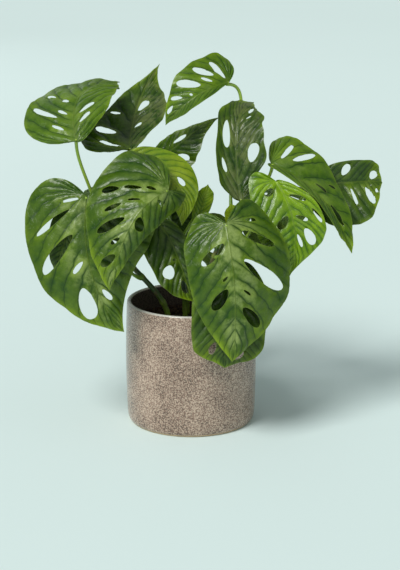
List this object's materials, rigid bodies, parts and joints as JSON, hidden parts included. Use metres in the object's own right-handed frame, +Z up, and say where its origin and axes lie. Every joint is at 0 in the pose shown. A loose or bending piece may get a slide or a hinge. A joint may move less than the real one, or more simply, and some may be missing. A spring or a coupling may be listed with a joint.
{
  "type": "monstera adansonii in a cylindrical pot",
  "caption": "Climbing aroid house plant with oval holes in its heart-shaped leaves, bushy over a plain cylindrical speckled stoneware pot.",
  "frame": {"origin": "middle of the pot's flat foot", "axes": "+Z up out of the pot, -Y towards the plant's front, +X to the right seen from the front"},
  "size_m": [0.3708, 0.2428, 0.3798],
  "materials": {
    "glaze": "mottled brown and beige speckled satin glaze with a pale rim",
    "soil": "loose dark potting mix",
    "stem_skin": "smooth dark green skin",
    "petiole_skin": "smooth pale green skin",
    "leaf_green": "glossy green, quilted between the side veins, paler and duller underneath"
  },
  "bodies": {
    "root": {"pot": "glaze", "soil": "soil", "stem_left": "stem_skin", "stem_middle": "stem_skin", "stem_right": "stem_skin", "stem_far_right": "stem_skin", "stem_back": "stem_skin", "petiole_upper_left": "petiole_skin", "leaf_upper_left": "leaf_green", "petiole_upper_back_left": "petiole_skin", "leaf_upper_back_left": "leaf_green", "petiole_top": "petiole_skin", "leaf_top": "leaf_green", "petiole_middle_back": "petiole_skin", "leaf_middle_back": "leaf_green", "petiole_centre_upright": "petiole_skin", "leaf_centre_upright": "leaf_green", "petiole_front_right": "petiole_skin", "leaf_front_right": "leaf_green", "petiole_front_low": "petiole_skin", "leaf_front_low": "leaf_green", "petiole_right": "petiole_skin", "leaf_right": "leaf_green", "petiole_right_arching": "petiole_skin", "leaf_right_arching": "leaf_green", "petiole_far_right": "petiole_skin", "leaf_far_right": "leaf_green", "petiole_centre_left": "petiole_skin", "leaf_centre_left": "leaf_green", "petiole_left_low": "petiole_skin", "leaf_left_low": "leaf_green", "petiole_yellow_back": "petiole_skin", "leaf_yellow_back": "leaf_green", "petiole_centre_low": "petiole_skin", "leaf_centre_low": "leaf_green", "petiole_small_middle": "petiole_skin", "leaf_small_middle": "leaf_green", "petiole_small_front": "petiole_skin", "leaf_small_front": "leaf_green", "petiole_inner_right": "petiole_skin", "leaf_inner_right": "leaf_green", "petiole_inner_left": "petiole_skin", "leaf_inner_left": "leaf_green", "petiole_inner_middle": "petiole_skin", "leaf_inner_middle": "leaf_green", "petiole_back_left": "petiole_skin", "leaf_back_left": "leaf_green", "petiole_back_middle": "petiole_skin", "leaf_back_middle": "leaf_green", "petiole_back_right": "petiole_skin", "leaf_back_right": "leaf_green"}
  },
  "joints": []
}
